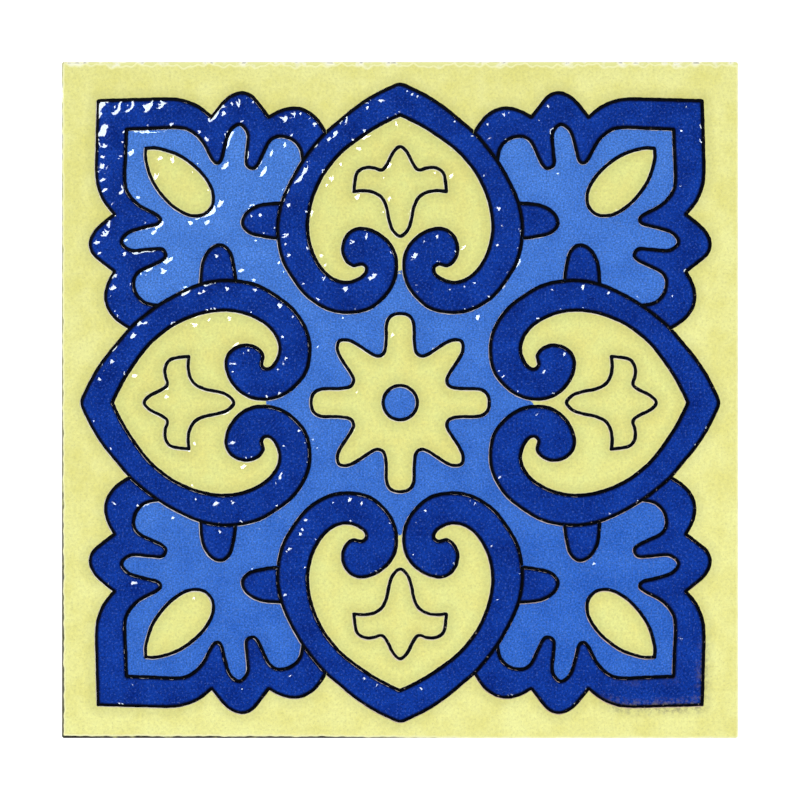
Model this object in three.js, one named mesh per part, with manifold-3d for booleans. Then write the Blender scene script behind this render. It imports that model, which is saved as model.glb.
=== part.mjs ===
// A square wall tile of pressed, fired clay with a floral pattern in raised glaze.
// Narrow dry lines part the pools of glaze, and each pool stands over the lines with sloping edges.
// The tile lies on its back with its face up, and the pattern repeats in four quarter turns.

import * as THREE from 'three';
import { mergeVertices } from 'three/addons/utils/BufferGeometryUtils.js';
import Module from 'manifold-3d';

// Sizes of the tile, in millimetres.
const TILE_SIDE = 152;
const BODY_THICKNESS = 8;
const GLAZE_RELIEF = 0.9;
const LINE_WIDTH = 0.8;
const POOL_SLOPE = 0.35;
const EDGE_ROUNDING = 0.5;
const CORNER_ROUNDING = 0.7;
const PATTERN_DROP = 0.65;
const DOT_RADIUS = 3.85;

// The outlines further down are drawn for this side and grow or shrink with the tile.
const DRAWN_SIDE = 152;
const SCALE = TILE_SIDE / DRAWN_SIDE;

// How finely curves and rounded edges are cut.
const STEPS_PER_KNOT = 6;
const CHORD_TOLERANCE = 0.25;
const LEAST_EDGE = 0.05;
// How far solids reach past each other where they are cut or joined.
const OVERLAP = 1;
const EDGE_STEPS = 3;

// Outlines run along the middle of the dry lines. Each list is one smooth stretch between sharp corners.
// Corner field, edge of the dark border from the tile's corner to the heart, in three lobes.
const BORDER_LONG_LOBE = [
  [-67.8, 67.8], [-63, 67.95], [-57, 68.1], [-52, 68.2], [-48.6, 67.8], [-45.2, 66.4], [-42.3, 64.1],
];
const BORDER_MIDDLE_LOBE = [
  [-42.3, 64.1], [-39.9, 67.1], [-38, 68.8], [-35.6, 69.6], [-33.3, 68.8], [-31.4, 66.6], [-29.5, 64.1],
];
const BORDER_LAST_LOBE = [
  [-29.5, 64.1], [-27.1, 65.4], [-24.6, 66.1], [-22.1, 65.9], [-19.7, 64.6], [-18, 62.7], [-16.7, 60.6],
];
// Corner field, edge between the dark border and the light ground with its two fingers.
const GROUND_EDGE = [
  [-61.4, 61.4], [-56, 61.6], [-50, 61.8], [-47.1, 61.1], [-44.4, 58.7], [-42.2, 54.7], [-41.1, 53.8],
  [-40.1, 54.6], [-39.4, 57.4], [-38.2, 61], [-36, 62.5], [-34.2, 60.4], [-34.4, 56.4], [-34.5, 53.5],
  [-33.1, 52.6], [-32, 53.4], [-30.9, 55.6], [-29.4, 58.6], [-27.4, 59.8], [-24.6, 59.3], [-22.5, 57.3],
  [-21.8, 54.2],
];
// Leaf in the corner, one side from its point to its round end.
const LEAF_SIDE = [
  [-57.1, 57.1], [-54.2, 57.05], [-49.4, 55.4], [-45, 52], [-42.4, 48.2], [-42, 45.1], [-43.05, 43.05],
];
// Tongue on the outside of a heart, which starts and ends under the heart's band.
const TONGUE = [
  [-23, 45.3], [-26.6, 44.8], [-31.4, 44.3], [-34.4, 42.6], [-35.4, 40.2], [-33.8, 38.2], [-30.4, 37.3],
  [-27.3, 36.9], [-23.6, 36.6],
];
// Heart band, outer line from the tip round the bottom to the gap between the two scrolls.
const HEART_OUTSIDE = [
  [0, 71.5], [-2.3, 70.7], [-6.5, 68.55], [-10.4, 65.9], [-13.4, 63.4], [-16.8, 60.5], [-19.4, 57.5],
  [-22, 54], [-24.6, 49.4], [-26.5, 45], [-27.4, 40.5], [-27.3, 36.5], [-26.5, 32.6], [-24.9, 29.3],
  [-21.5, 24.6], [-17.6, 21.7], [-13.8, 20.4], [-10, 20.4], [-6.7, 21.3], [-3.9, 23.5], [-1.9, 26.2],
  [-0.9, 29.3], [-1, 32.8],
];
// Heart band, from the gap round the scroll's end and back up the inner line to the inner tip.
const HEART_INSIDE = [
  [-2.3, 35.6], [-4.4, 37.6], [-6.8, 38.8], [-9.3, 39.1], [-11.3, 38.2], [-12.6, 36.3], [-12.9, 33.9],
  [-12, 31.8], [-10.6, 30.8], [-9.5, 30.95], [-8.5, 31.1], [-7.6, 30.3], [-7.9, 28.9], [-9.7, 27.6],
  [-12.3, 27], [-15.2, 27.9], [-17.9, 30.4], [-20, 34.6], [-20.8, 39.6], [-20, 45], [-18, 50],
  [-15.6, 53.6], [-12.3, 57.1], [-6.5, 61.25], [-2.2, 63.6], [0, 64.6],
];
// Lily inside the heart, upper and lower half of one side, which meet in a sharp point.
const LILY_TOP = [
  [0, 57.5], [-1.5, 56.3], [-2.7, 54], [-3.6, 52.6], [-4.5, 52.25], [-5.9, 52.7], [-7.5, 52.8], [-9, 52.25],
  [-9.95, 50.9], [-10.4, 47.4],
];
const LILY_FOOT = [
  [-10.4, 47.4], [-8.2, 47.6], [-5.9, 47.2], [-4.1, 46], [-3.05, 43.8], [-2.5, 41.1], [-1.7, 38.8], [0, 37.35],
];
// Flower in the middle, one eighth from the end of an arm to the end of the next.
const FLOWER_EIGHTH = [
  [0, 20], [-2.05, 19.45], [-3.05, 17.6], [-3.15, 13.9], [-3.55, 11.4], [-4.7, 10.5], [-6.3, 10.9],
  [-10.1, 13.35], [-12.1, 14.1], [-13.75, 13.75],
];

const QUARTERS = [0, 1, 2, 3];
const HALF_LINE = LINE_WIDTH / 2;
const FACE_HEIGHT = BODY_THICKNESS + GLAZE_RELIEF;

const wasm = await Module();
wasm.setup();

// Copies of an outline, in the order that keeps the path going the same way round.
const mirrorLeftRight = (points) => points.map(([x, y]) => [-x, y]).reverse();
const mirrorDiagonal = (points) => points.map(([x, y]) => [-y, -x]).reverse();

function quarterTurns(points, turns) {
  let turned = points;
  for (let i = 0; i < turns; i += 1) {
    turned = turned.map(([x, y]) => [y, -x]);
  }
  return turned;
}

function turnAll(stretches, turns) {
  return stretches.map((points) => quarterTurns(points, turns));
}

// Keeps only the points that a chain of straight cuts needs to stay within the tolerance.
function thinned(points) {
  const last = points.length - 1;
  const chord = new THREE.Line3(
    new THREE.Vector3(points[0].x, points[0].y, 0),
    new THREE.Vector3(points[last].x, points[last].y, 0),
  );
  const nearest = new THREE.Vector3();
  let farthest = 0;
  let distance = 0;
  for (let i = 1; i < last; i += 1) {
    const point = new THREE.Vector3(points[i].x, points[i].y, 0);
    const away = chord.closestPointToPoint(point, true, nearest).distanceTo(point);
    if (away > distance) {
      distance = away;
      farthest = i;
    }
  }
  if (distance < CHORD_TOLERANCE) {
    return [points[0], points[last]];
  }
  const before = thinned(points.slice(0, farthest + 1));
  return [...before.slice(0, -1), ...thinned(points.slice(farthest))];
}

// A closed path through smooth stretches, with straight joins wherever one ends away from the next.
function outline(stretches) {
  const path = [];
  for (const stretch of stretches) {
    const knots = stretch.map(([x, y]) => new THREE.Vector2(x * SCALE, y * SCALE));
    const curve = new THREE.SplineCurve(knots);
    for (const point of thinned(curve.getPoints(STEPS_PER_KNOT * (knots.length - 1)))) {
      if (path.length === 0 || point.distanceTo(path[path.length - 1]) > 1e-6) {
        path.push(point);
      }
    }
  }
  if (path[0].distanceTo(path[path.length - 1]) < 1e-6) {
    path.pop();
  }
  return THREE.ShapeUtils.isClockWise(path) ? path.reverse() : path;
}

// Where two lines cross, each given by two points.
function crossing(a, b, c, d) {
  const along = b.clone().sub(a);
  const other = d.clone().sub(c);
  const share = c.clone().sub(a).cross(other) / along.cross(other);
  return a.clone().addScaledVector(along, share);
}

// Sharpens bends that are too tight to be moved sideways: outwards for a positive shift, else inwards.
function sharpened(points, shift) {
  const kept = points.map((point) => point.clone());
  for (;;) {
    const count = kept.length;
    const edges = kept.map((point, i) => kept[(i + 1) % count].clone().sub(point));
    const turns = edges.map((edge, i) => {
      const before = edges[(i + count - 1) % count];
      return Math.atan2(before.cross(edge), before.dot(edge));
    });
    const room = edges.map((edge, i) => {
      const ends = Math.tan(turns[i] / 2) + Math.tan(turns[(i + 1) % count] / 2);
      return edge.length() + shift * ends;
    });
    const tightest = room.indexOf(Math.min(...room));
    if (room[tightest] > LEAST_EDGE) {
      return new THREE.Shape(kept);
    }
    const next = (tightest + 1) % count;
    const before = kept[(tightest + count - 1) % count];
    const after = kept[(next + 1) % count];
    kept[tightest] = crossing(before, kept[tightest], kept[next], after);
    kept.splice(next, 1);
  }
}

function solidOf(geometry) {
  geometry.deleteAttribute('normal');
  geometry.deleteAttribute('uv');
  const merged = mergeVertices(geometry);
  return new wasm.Manifold(
    new wasm.Mesh({
      numProp: 3,
      vertProperties: new Float32Array(merged.attributes.position.array),
      triVerts: new Uint32Array(merged.index.array),
    }),
  );
}

// What is cut away round a pool: a flat bed at the level of the dry line, flaring up to the face.
function pocketOf(path) {
  const geometry = new THREE.ExtrudeGeometry(sharpened(path, HALF_LINE + POOL_SLOPE), {
    depth: OVERLAP,
    steps: 1,
    bevelEnabled: true,
    bevelThickness: GLAZE_RELIEF,
    bevelSize: POOL_SLOPE,
    bevelOffset: HALF_LINE,
    bevelSegments: 1,
  });
  geometry.translate(0, 0, FACE_HEIGHT);
  return solidOf(geometry);
}

// What is put back: the pool of glaze, whose edge slopes up from the dry line to the face.
function poolOf(path) {
  const geometry = new THREE.ExtrudeGeometry(sharpened(path, -HALF_LINE - POOL_SLOPE), {
    depth: OVERLAP,
    steps: 1,
    bevelEnabled: true,
    bevelThickness: GLAZE_RELIEF,
    bevelSize: POOL_SLOPE,
    bevelOffset: -HALF_LINE - POOL_SLOPE,
    bevelSegments: 1,
  });
  geometry.translate(0, 0, BODY_THICKNESS - OVERLAP);
  return solidOf(geometry);
}

// Clay body with its glazed face, before the lines are cut.
function slab() {
  const half = TILE_SIDE / 2 - CORNER_ROUNDING;
  const shape = new THREE.Shape();
  shape.absarc(half, half, CORNER_ROUNDING, 0, Math.PI / 2);
  shape.absarc(-half, half, CORNER_ROUNDING, Math.PI / 2, Math.PI);
  shape.absarc(-half, -half, CORNER_ROUNDING, Math.PI, Math.PI * 1.5);
  shape.absarc(half, -half, CORNER_ROUNDING, Math.PI * 1.5, Math.PI * 2);
  const geometry = new THREE.ExtrudeGeometry(shape, {
    depth: FACE_HEIGHT - 2 * EDGE_ROUNDING,
    steps: 1,
    curveSegments: EDGE_STEPS,
    bevelEnabled: true,
    bevelThickness: EDGE_ROUNDING,
    bevelSize: EDGE_ROUNDING,
    bevelOffset: -EDGE_ROUNDING,
    bevelSegments: EDGE_STEPS,
  });
  geometry.translate(0, 0, EDGE_ROUNDING);
  return solidOf(geometry);
}

// Corner fields and the ground that joins them. The paths run on under the hearts, which come later.
function borderPath() {
  const half = [BORDER_LONG_LOBE, BORDER_MIDDLE_LOBE, BORDER_LAST_LOBE];
  const corner = [...half.map(mirrorDiagonal).reverse(), ...half];
  return outline(QUARTERS.flatMap((turns) => turnAll(corner, turns)));
}

function groundPath() {
  const corner = [mirrorDiagonal(GROUND_EDGE), GROUND_EDGE];
  return outline(QUARTERS.flatMap((turns) => turnAll(corner, turns)));
}

function leafPath(turns) {
  const loop = [...LEAF_SIDE, ...mirrorDiagonal(LEAF_SIDE).slice(1)];
  return outline([quarterTurns(loop, turns)]);
}

function tonguePaths(turns) {
  return [TONGUE, mirrorLeftRight(TONGUE)].map((points) => outline([quarterTurns(points, turns)]));
}

// Heart: a raised bed inside its outer line first, then the band with its two scrolls.
function heartBed(turns) {
  const loop = [...mirrorLeftRight(HEART_OUTSIDE), ...HEART_OUTSIDE.slice(1)];
  const shape = new THREE.Shape(outline([quarterTurns(loop, turns)]));
  const geometry = new THREE.ExtrudeGeometry(shape, {
    depth: FACE_HEIGHT / 2,
    steps: 1,
    bevelEnabled: false,
  });
  geometry.translate(0, 0, FACE_HEIGHT / 2);
  return solidOf(geometry);
}

function heartBandPath(turns) {
  const left = [...HEART_OUTSIDE, ...HEART_INSIDE];
  const right = mirrorLeftRight(left);
  const loop = [
    ...right.slice(HEART_INSIDE.length),
    ...left.slice(1),
    ...right.slice(1, HEART_INSIDE.length + 1),
  ];
  return outline([quarterTurns(loop, turns)]);
}

function lilyPath(turns) {
  const top = [...mirrorLeftRight(LILY_TOP), ...LILY_TOP.slice(1)];
  const foot = [...LILY_FOOT, ...mirrorLeftRight(LILY_FOOT).slice(1)];
  return outline(turnAll([top, foot], turns));
}

// Flower with its round centre. Its path starts half way along the side of an arm.
function flowerPath() {
  const start = 3;
  const quarter = [...FLOWER_EIGHTH, ...mirrorDiagonal(FLOWER_EIGHTH).slice(1, -1)];
  const loop = QUARTERS.flatMap((turns) => quarterTurns(quarter, 4 - turns));
  const path = [...loop.slice(start), ...loop.slice(0, start + 1)];
  return outline([path]);
}

function dotPath() {
  const circle = new THREE.EllipseCurve(0, 0, DOT_RADIUS * SCALE, DOT_RADIUS * SCALE);
  return thinned(circle.getPoints(STEPS_PER_KNOT * 8)).slice(0, -1);
}

// Each pool is cut out of what lies under it and put back smaller, so that its line stays open round it.
function lay(body, path) {
  const drop = -PATTERN_DROP * SCALE;
  const cut = body.subtract(pocketOf(path).translate(0, drop, 0));
  return cut.add(poolOf(path).translate(0, drop, 0));
}

function tileSolid() {
  let body = lay(slab(), borderPath());
  body = lay(body, groundPath());
  for (const turns of QUARTERS) {
    for (const tongue of tonguePaths(turns)) {
      body = lay(body, tongue);
    }
    body = lay(body, leafPath(turns));
  }
  for (const turns of QUARTERS) {
    body = body.add(heartBed(turns).translate(0, -PATTERN_DROP * SCALE, 0));
    body = lay(body, heartBandPath(turns));
    body = lay(body, lilyPath(turns));
  }
  body = lay(body, flowerPath());
  return lay(body, dotPath());
}

function meshOf(name, solid, material) {
  const { vertProperties, triVerts } = solid.getMesh();
  const geometry = new THREE.BufferGeometry();
  geometry.setAttribute('position', new THREE.BufferAttribute(vertProperties, 3));
  geometry.setIndex(new THREE.BufferAttribute(triVerts, 1));
  geometry.computeVertexNormals();
  const mesh = new THREE.Mesh(geometry, material);
  mesh.name = name;
  return mesh;
}

// Glaze over fired clay: glossy, and mostly pale yellow.
const glazedClay = new THREE.MeshStandardMaterial({ color: 0xe2e28a, roughness: 0.2, metalness: 0 });

const group = new THREE.Group();
group.name = 'floral_tile';
group.add(meshOf('tile', tileSolid(), glazedClay));

export default group;
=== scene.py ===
import math

import bpy
import numpy as np
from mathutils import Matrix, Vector
from mathutils.geometry import delaunay_2d_cdt
from mathutils.kdtree import KDTree


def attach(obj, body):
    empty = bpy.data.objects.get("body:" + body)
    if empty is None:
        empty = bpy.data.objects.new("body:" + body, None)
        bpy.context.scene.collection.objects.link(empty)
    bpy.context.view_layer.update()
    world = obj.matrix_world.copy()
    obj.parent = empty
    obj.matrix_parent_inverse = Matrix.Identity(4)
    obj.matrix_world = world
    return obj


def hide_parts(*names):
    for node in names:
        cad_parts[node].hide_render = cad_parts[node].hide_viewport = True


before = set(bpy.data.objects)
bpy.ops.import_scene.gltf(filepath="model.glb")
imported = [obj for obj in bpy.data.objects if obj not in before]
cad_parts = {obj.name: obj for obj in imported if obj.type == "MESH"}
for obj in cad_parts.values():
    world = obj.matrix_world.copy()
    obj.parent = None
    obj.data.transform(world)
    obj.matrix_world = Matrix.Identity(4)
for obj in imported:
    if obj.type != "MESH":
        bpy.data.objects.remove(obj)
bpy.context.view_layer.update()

# Clay body. The real tile is a flat slab of earthenware, pressed in a mould and fired once to biscuit.
# Its back and sides stay bare, pinkish buff and finely gritty, with soft moulded edges. The arris is
# darkened with painted shadow along the left and the lower left, and has patchy dark marks all round the rim.
SIDE_MM = 152.0
BODY_TOP_MM = 8.0
BODY_INSET_MM = 0.01
ARRIS_MM = 0.35
CORNER_MM = 0.5
BACK_EDGE_MM = 0.6
CLAY_CLOUD_MM = 11.11
GRIT_MM = 0.625
GRIT_DEPTH_MM = 0.1
RIM_PATCH_MM = 2.38
CLAY = "#E3CDBB"
CLAY_DARK = "#CDB09A"
CLAY_PALE = "#F7F2F0"
CLAY_PINK = "#E6CDBE"
WASH = "#E4E59C"
WASH_PALE = "#F6F6DE"
EDGE_SHADOW_AND_MARKS = "#2A2A20"
# Where each look starts and where it is full, in metres up or out from the middle of the back.
FACE_Z = (0.0072, 0.0076)
SHADOW_AND_MARKS_Z = (0.0055, 0.0072)
WASHED_RIM = (0.0738, 0.0742)
MARKED_RIM = (0.0755, 0.0757)
SHADOWED_SIDE = (-0.0751, -0.0753)
SHADOW_DOWN_LEFT = (0.06, -0.03)
SHADOW_ALONG_FOOT = (0.02, -0.01)
PINK_SLANT = (-0.02, 0.1)


def linear(code):
    """An sRGB hex colour as the linear RGBA that a shader socket takes."""
    parts = [int(code[i : i + 2], 16) / 255 for i in (1, 3, 5)]
    return [c / 12.92 if c <= 0.04045 else ((c + 0.055) / 1.055) ** 2.4 for c in parts] + [1.0]


def new_material(name):
    material = bpy.data.materials.new(name)
    material.use_nodes = True
    return material, material.node_tree


def add(tree, kind, settings=None, **inputs):
    """Adds a node with its properties (settings) and its inputs: values or (node, output) links.

    An input is called by its name, or by its number as i0 or i1.
    """
    node = tree.nodes.new("ShaderNode" + kind)
    for key, value in (settings or {}).items():
        setattr(node, key, value)
    for key, value in inputs.items():
        numbered = key[0] == "i" and key[1:].isdigit()
        socket = node.inputs[int(key[1:]) if numbered else key.replace("_", " ")]
        if isinstance(value, tuple) and isinstance(value[0], bpy.types.Node):
            tree.links.new(value[0].outputs[value[1]], socket)
        else:
            socket.default_value = value
    return node


def ramp(tree, source, low, high, to_low=0.0, to_high=1.0):
    """A clamped straight ramp from one range to another."""
    return add(
        tree, "MapRange", Value=source, From_Min=low, From_Max=high, To_Min=to_low, To_Max=to_high
    ), "Result"


def soft_ramp(tree, source, low, high, to_low=0.0, to_high=1.0):
    """The same, eased at both ends."""
    return add(
        tree, "MapRange", {"interpolation_type": "SMOOTHSTEP"}, Value=source,
        From_Min=low, From_Max=high, To_Min=to_low, To_Max=to_high,
    ), "Result"


def mix(tree, share, first, second):
    return add(tree, "MixRGB", Fac=share, Color1=first, Color2=second), "Color"


def maths(tree, operation, first, second):
    return add(tree, "Math", {"operation": operation}, i0=first, i1=second), "Value"


def clay_material():
    """Earthenware biscuit: dry and gritty, so it scatters light without gloss and mottles with the firing."""
    material, tree = new_material("earthenware_biscuit")
    shader = tree.nodes["Principled BSDF"]
    place = add(tree, "TexCoord"), "Object"
    clouds = add(tree, "TexNoise", Vector=place, Scale=1000 / CLAY_CLOUD_MM, Detail=3.0), "Fac"
    grit = add(tree, "TexNoise", Vector=place, Scale=1000 / GRIT_MM, Detail=4.0), "Fac"
    body = mix(tree, clouds, linear(CLAY), linear(CLAY_DARK))
    body = mix(tree, ramp(tree, grit, 0.45, 0.75), body, linear(CLAY_PALE))
    axes = add(tree, "SeparateXYZ", Vector=place)
    x, y, z = (axes, "X"), (axes, "Y"), (axes, "Z")
    top = ramp(tree, z, *FACE_Z)
    slant = maths(tree, "SUBTRACT", x, y)
    bare = mix(tree, ramp(tree, slant, *PINK_SLANT), linear(CLAY_PALE), linear(CLAY_PINK))
    washed = mix(tree, top, body, bare)
    rim = maths(tree, "MAXIMUM", maths(tree, "ABSOLUTE", x, 0.0), maths(tree, "ABSOLUTE", y, 0.0))
    patches = add(tree, "TexNoise", Vector=place, Scale=1000 / RIM_PATCH_MM, Detail=3.0), "Fac"
    wash = mix(tree, ramp(tree, patches, 0.5, 0.62), linear(WASH), linear(WASH_PALE))
    washed = mix(tree, maths(tree, "MULTIPLY", top, ramp(tree, rim, *WASHED_RIM)), washed, wash)
    # Painted shadow along the left and the lower left edges, with patchy dark marks all round the rim.
    left = ramp(tree, y, *SHADOW_DOWN_LEFT, 0.35, 0.9)
    left = maths(tree, "MULTIPLY", ramp(tree, x, *SHADOWED_SIDE), left)
    low = maths(tree, "MULTIPLY", ramp(tree, y, *SHADOWED_SIDE), ramp(tree, x, *SHADOW_ALONG_FOOT))
    edge = ramp(tree, patches, 0.6, 0.66, 0.0, 0.5)
    edge = maths(tree, "MULTIPLY", ramp(tree, rim, *MARKED_RIM), edge)
    shadow_and_marks = maths(tree, "MAXIMUM", maths(tree, "MAXIMUM", left, low), edge)
    shadow_and_marks = maths(tree, "MULTIPLY", shadow_and_marks, ramp(tree, patches, 0.3, 0.42, 0.55, 1.0))
    shadow_and_marks = maths(tree, "MULTIPLY", shadow_and_marks, ramp(tree, z, *SHADOW_AND_MARKS_Z))
    shadowed = mix(tree, shadow_and_marks, washed, linear(EDGE_SHADOW_AND_MARKS))
    bump = add(tree, "Bump", Strength=0.6, Distance=GRIT_DEPTH_MM / 1000, Height=grit)
    tree.links.new(shadowed[0].outputs["Color"], shader.inputs["Base Color"])
    tree.links.new(bump.outputs["Normal"], shader.inputs["Normal"])
    shader.inputs["Roughness"].default_value = 0.9
    shader.inputs["IOR"].default_value = 1.5
    return material


def finish_piece(piece, material):
    """Puts the material on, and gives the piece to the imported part."""
    piece.data.materials.append(material)
    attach(piece, "root")
    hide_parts("tile")


def pick_edges(mesh, test):
    """Selects the edges whose ends, in millimetres, pass the test."""
    bpy.ops.mesh.select_mode(type="EDGE")
    bpy.ops.mesh.select_all(action="DESELECT")
    bpy.ops.object.mode_set(mode="OBJECT")
    for edge in mesh.edges:
        a, b = (mesh.vertices[i].co * 1000 for i in edge.vertices)
        edge.select = test(a, b)
    bpy.ops.object.mode_set(mode="EDIT")


bpy.ops.object.select_all(action="DESELECT")
bpy.ops.mesh.primitive_cube_add(size=1, location=(0, 0, BODY_TOP_MM / 2000))
body = bpy.context.object
body.name = "clay_body"
body_side = (SIDE_MM - 2 * BODY_INSET_MM) / 1000
body.scale = (body_side, body_side, BODY_TOP_MM / 1000)
bpy.ops.object.transform_apply(location=True, rotation=True, scale=True)
bpy.ops.object.mode_set(mode="EDIT")
pick_edges(body.data, lambda a, b: abs(a.z - b.z) > 1)
bpy.ops.mesh.bevel(offset=CORNER_MM / 1000, segments=4, affect="EDGES")
pick_edges(body.data, lambda a, b: min(a.z, b.z) > BODY_TOP_MM - 0.01)
bpy.ops.mesh.bevel(offset=ARRIS_MM / 1000, segments=5, affect="EDGES")
pick_edges(body.data, lambda a, b: max(a.z, b.z) < 0.01)
bpy.ops.mesh.bevel(offset=BACK_EDGE_MM / 1000, segments=3, affect="EDGES")
bpy.ops.object.mode_set(mode="OBJECT")
bpy.ops.object.shade_smooth_by_angle(angle=math.radians(40))
bpy.ops.object.modifier_add(type="WEIGHTED_NORMAL")
body.modifiers[-1].keep_sharp = True
bpy.ops.object.modifier_apply(modifier=body.modifiers[-1].name)
finish_piece(body, clay_material())

# Dry lines. A greasy manganese line was printed on the clay. The grease burnt off in the kiln and left the
# black dry: a low, matt, slightly uneven ridge that keeps the glazes apart.
# The outlines are in millimetres from the middle of the pattern. One eighth is drawn, and the rest comes
# from mirroring and quarter turns.
PATTERN_DROP_MM = 0.65
LINE_WIDTH_MM = 0.84
LINE_RISE_MM = 0.09
LINE_SHIFT_MM = (0.085, 0.085)
# Across the line as a share of half its width, and up as a share of its rise.
LINE_SECTION = ((-1, -0.06), (-0.75, 0.6), (0, 1), (0.75, 0.6), (1, -0.06))
LINE_WAVES_MM = (1.7, 3.1, 7.3)
WAVER = 0.12
MITRE_LIMIT = 0.55
SAME_POINT_MM = 0.02
KNOT_STEPS = 8
CIRCLE_POINTS = 64
SEED = 11
LINE_GRAIN_MM = 0.5556
LINE_GRAIN_DEPTH_MM = 0.04
CHIP_MM = 0.6667
LINE_BLACK = "#03050C"
LINE_WORN = "#0B0E18"
LINE_CHIP = "#8C8078"
BORDER_LONG_LOBE = [
    (-67.8, 67.8), (-63, 67.95), (-57, 68.1), (-52, 68.2), (-48.6, 67.8), (-45.2, 66.4), (-42.3, 64.1),
]
BORDER_MIDDLE_LOBE = [
    (-42.3, 64.1), (-39.9, 67.1), (-38, 68.8), (-35.6, 69.6), (-33.3, 68.8), (-31.4, 66.6), (-29.5, 64.1),
]
BORDER_LAST_LOBE = [
    (-29.5, 64.1), (-27.1, 65.4), (-24.6, 66.1), (-22.1, 65.9), (-19.7, 64.6), (-18, 62.7), (-16.7, 60.6),
]
GROUND_EDGE = [
    (-61.4, 61.4), (-56, 61.6), (-50, 61.8), (-47.1, 61.1), (-44.4, 58.7), (-42.2, 54.7), (-41.1, 53.8),
    (-40.1, 54.6), (-39.4, 57.4), (-38.2, 61), (-36, 62.5), (-34.2, 60.4), (-34.4, 56.4), (-34.5, 53.5),
    (-33.1, 52.6), (-32, 53.4), (-30.9, 55.6), (-29.4, 58.6), (-27.4, 59.8), (-24.6, 59.3), (-22.5, 57.3),
    (-21.8, 54.2),
]
LEAF_SIDE = [
    (-57.1, 57.1), (-54.2, 57.05), (-49.4, 55.4), (-45, 52), (-42.4, 48.2), (-42, 45.1), (-43.05, 43.05),
]
TONGUE = [
    (-26.6, 44.8), (-31.4, 44.3), (-34.4, 42.6), (-35.4, 40.2), (-33.8, 38.2), (-30.4, 37.3), (-27.3, 36.9),
]
HEART_OUTSIDE = [
    (0, 71.5), (-2.3, 70.7), (-6.5, 68.55), (-10.4, 65.9), (-13.4, 63.4), (-16.8, 60.5), (-19.4, 57.5),
    (-22, 54), (-24.6, 49.4), (-26.5, 45), (-27.4, 40.5), (-27.3, 36.5), (-26.5, 32.6), (-24.9, 29.3),
    (-21.5, 24.6), (-17.6, 21.7), (-13.8, 20.4), (-10, 20.4), (-6.7, 21.3), (-3.9, 23.5), (-1.9, 26.2),
    (-0.9, 29.3), (-1, 32.8),
]
HEART_INSIDE = [
    (-2.3, 35.6), (-4.4, 37.6), (-6.8, 38.8), (-9.3, 39.1), (-11.3, 38.2), (-12.6, 36.3), (-12.9, 33.9),
    (-12, 31.8), (-10.6, 30.8), (-9.5, 30.95), (-8.5, 31.1), (-7.6, 30.3), (-7.9, 28.9), (-9.7, 27.6),
    (-12.3, 27), (-15.2, 27.9), (-17.9, 30.4), (-20, 34.6), (-20.8, 39.6), (-20, 45), (-18, 50),
    (-15.6, 53.6), (-12.3, 57.1), (-6.5, 61.25), (-2.2, 63.6), (0, 64.6),
]
LILY_TOP = [
    (0, 57.5), (-1.5, 56.3), (-2.7, 54), (-3.6, 52.6), (-4.5, 52.25), (-5.9, 52.7), (-7.5, 52.8), (-9, 52.25),
    (-9.95, 50.9), (-10.4, 47.4),
]
LILY_FOOT = [
    (-10.4, 47.4), (-8.2, 47.6), (-5.9, 47.2), (-4.1, 46), (-3.05, 43.8), (-2.5, 41.1), (-1.7, 38.8),
    (0, 37.35),
]
FLOWER_EIGHTH = [
    (0, 20), (-2.05, 19.45), (-3.05, 17.6), (-3.15, 13.9), (-3.55, 11.4), (-4.7, 10.5), (-6.3, 10.9),
    (-10.1, 13.35), (-12.1, 14.1), (-13.75, 13.75),
]
DOT_RADIUS_MM = 3.85


def left_right(path):
    return (np.asarray(path, float) * (-1, 1))[::-1]


def diagonal(path):
    return -np.asarray(path, float)[::-1, ::-1]


def turned(path, quarters):
    """Turns a path clockwise by quarter turns."""
    path = np.asarray(path, float)
    for _ in range(quarters % 4):
        path = np.column_stack((path[:, 1], -path[:, 0]))
    return path


def smooth(knots):
    """A smooth path through the knots."""
    p = np.asarray(knots, float)
    p = np.vstack((p[:1], p, p[-1:]))
    t = (np.arange(KNOT_STEPS) / KNOT_STEPS)[:, None]
    parts = []
    for a, b, c, d in zip(p[:-3], p[1:-2], p[2:-1], p[3:]):
        u, v = (c - a) / 2, (d - b) / 2
        parts.append((2 * b - 2 * c + u + v) * t**3 + (3 * c - 3 * b - 2 * u - v) * t**2 + u * t + b)
    return np.vstack(parts + [p[-1:]])


def stretch(path, start, end):
    """The part of a path between the points nearest to two others."""
    i = np.argmin(np.hypot(*(path - start).T))
    j = np.argmin(np.hypot(*(path - end).T))
    return path[i : j + 1] if i < j else path[j : i + 1][::-1]


heart_knots = np.vstack((left_right(HEART_OUTSIDE[1:3]), HEART_OUTSIDE, HEART_INSIDE))
heart_side = smooth(heart_knots)[2 * KNOT_STEPS :]
tongue = smooth(TONGUE)
border_half = np.vstack([smooth(lobe) for lobe in (BORDER_LONG_LOBE, BORDER_MIDDLE_LOBE, BORDER_LAST_LOBE)])
border_corner = np.vstack((diagonal(border_half), border_half))
ground_corner = np.vstack((diagonal(smooth(GROUND_EDGE)), smooth(GROUND_EDGE)))
leaf_loop = smooth(np.vstack((LEAF_SIDE, diagonal(LEAF_SIDE)[1:])))
band_loop = np.vstack((heart_side, left_right(heart_side)))
lily_loop = np.vstack((
    smooth(np.vstack((left_right(LILY_TOP), LILY_TOP[1:]))),
    smooth(np.vstack((LILY_FOOT, left_right(LILY_FOOT)[1:]))),
))
flower_quarter = np.vstack((FLOWER_EIGHTH, diagonal(FLOWER_EIGHTH)[1:-1]))
flower_knots = np.vstack([turned(flower_quarter, 4 - k) for k in range(4)])
flower_knots = np.vstack((flower_knots[-3:], flower_knots, flower_knots[:4]))
flower_loop = smooth(flower_knots)[3 * KNOT_STEPS : -3 * KNOT_STEPS]
angles = np.linspace(0, 2 * math.pi, CIRCLE_POINTS, endpoint=False)
dot_loop = DOT_RADIUS_MM * np.column_stack((np.cos(angles), np.sin(angles)))

rng = np.random.default_rng(SEED)


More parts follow.
